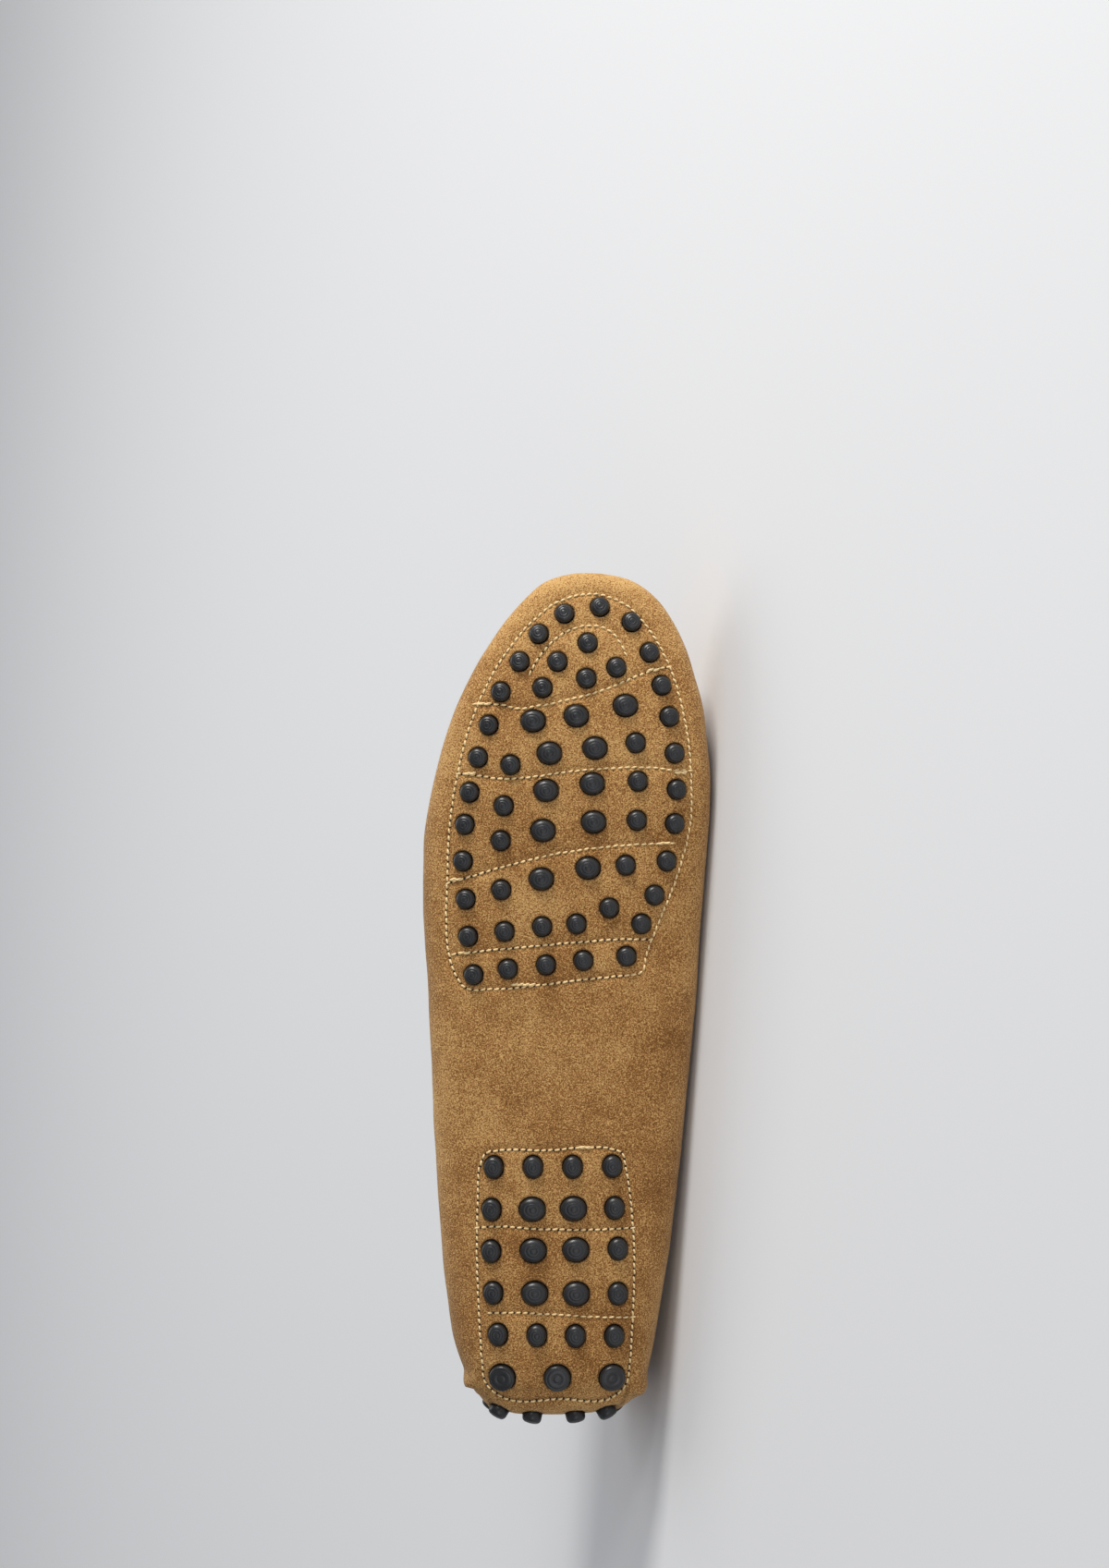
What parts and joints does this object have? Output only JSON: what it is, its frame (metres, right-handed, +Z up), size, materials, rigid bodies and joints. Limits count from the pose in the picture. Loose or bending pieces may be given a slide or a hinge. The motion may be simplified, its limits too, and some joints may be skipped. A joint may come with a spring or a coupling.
{
  "type": "driving moccasin",
  "caption": "Soft suede driving moccasin for the right foot, with rubber studs that come up through its wrapped suede sole, lying on its side.",
  "frame": {"origin": "middle of the bounding box at its base, on the floor the shoe lies on", "axes": "+X to the toe, -Y out of the sole, +Z up, away from the floor under the shoe's medial side"},
  "size_m": [0.2884, 0.0783, 0.0922],
  "materials": {
    "upper": "tan suede",
    "apron": "tan suede",
    "collar_binding": "brown suede tape",
    "forefoot_sole": "satin charcoal",
    "heel_sole": "satin charcoal",
    "insole": "smooth lining leather"
  },
  "bodies": {
    "root": {"upper": "upper", "apron": "apron", "collar_binding": "collar_binding", "forefoot_sole": "forefoot_sole", "heel_sole": "heel_sole", "insole": "insole"}
  },
  "joints": []
}
